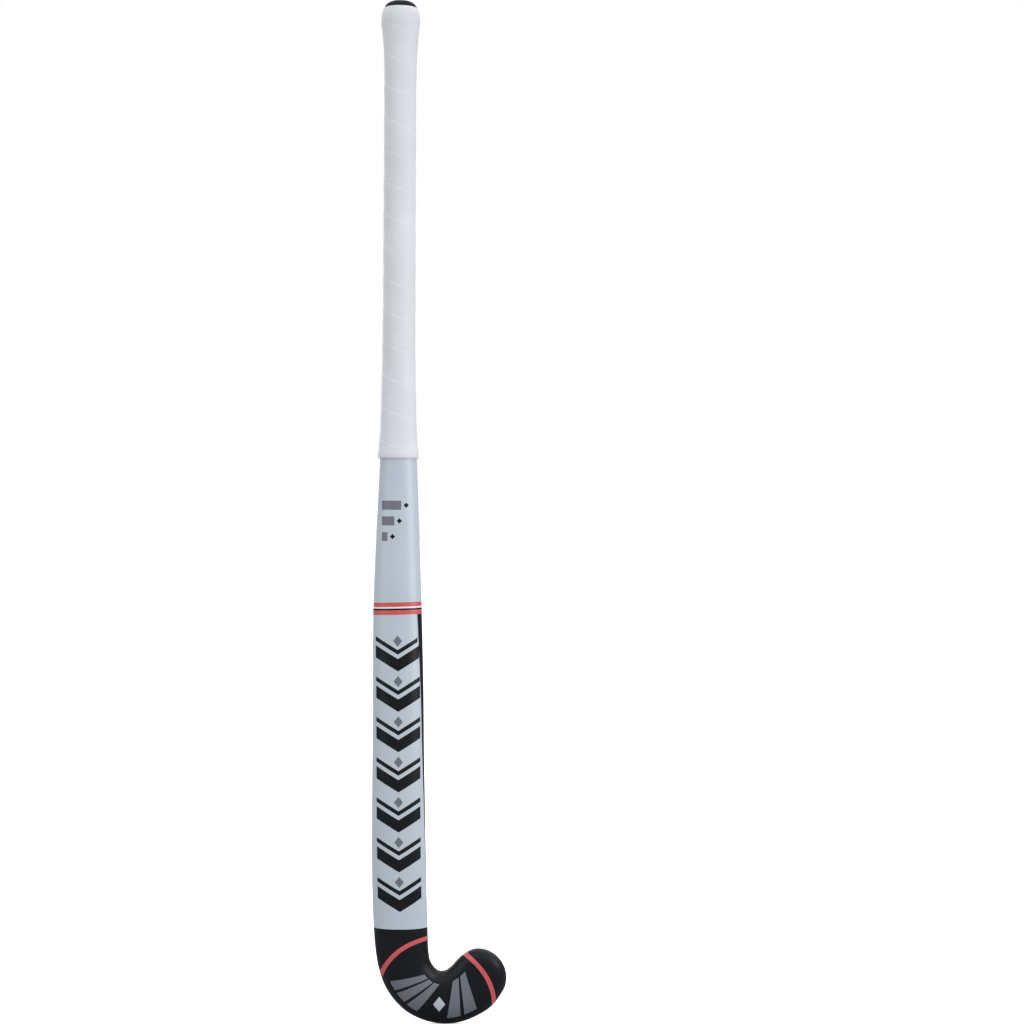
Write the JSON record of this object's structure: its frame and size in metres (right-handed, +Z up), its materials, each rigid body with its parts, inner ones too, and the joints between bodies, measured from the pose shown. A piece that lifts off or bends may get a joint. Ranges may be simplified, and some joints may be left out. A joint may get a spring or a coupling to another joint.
{
  "type": "field hockey stick",
  "caption": "Right-handed composite field hockey stick with a bowed shaft, a tight hook with a flat playing side, and a wrapped cushioned grip.",
  "frame": {"origin": "on the handle's long axis at the middle of the hand grip, 720 mm above the lowest point of the hook", "axes": "+Z up the shaft towards the butt cap, +X towards the toe of the hook, +Y out of the flat playing side"},
  "size_m": [0.1232, 0.0479, 0.927],
  "materials": {
    "black_lacquer": "satin clear-coated black lacquer over carbon laminate",
    "raw_laminate": "bare cured laminate",
    "core_foam": "rigid closed-cell foam",
    "plug_foam": "firm foam rubber",
    "cap_rubber": "moulded black rubber",
    "cushion_foam": "thin cushion foam",
    "grip_wrap": "smooth tacky polyurethane tape, wound with an overlap",
    "collar_tape": "stretched finishing tape",
    "pale_lacquer": "pale blue-grey pearl lacquer",
    "red_print": "printed red under clear lacquer",
    "white_print": "printed white under clear lacquer",
    "black_print": "printed black under clear lacquer",
    "label_print": "printed label under clear lacquer"
  },
  "bodies": {
    "root": {"back_laminate": "black_lacquer", "face_laminate": "black_lacquer", "centre_web": "raw_laminate", "shaft_core_heel": "core_foam", "shaft_core_toe": "core_foam", "head_core": "core_foam", "handle_plug": "plug_foam", "butt_cap": "cap_rubber", "grip_underlay": "cushion_foam", "grip_tape": "grip_wrap", "finishing_collar": "collar_tape", "upper_back_film": "pale_lacquer", "lower_back_film": "pale_lacquer", "band_ring_1": "red_print", "band_ring_2": "white_print", "band_ring_3": "black_print", "band_ring_4": "red_print", "spec_label": "label_print"}
  },
  "joints": []
}
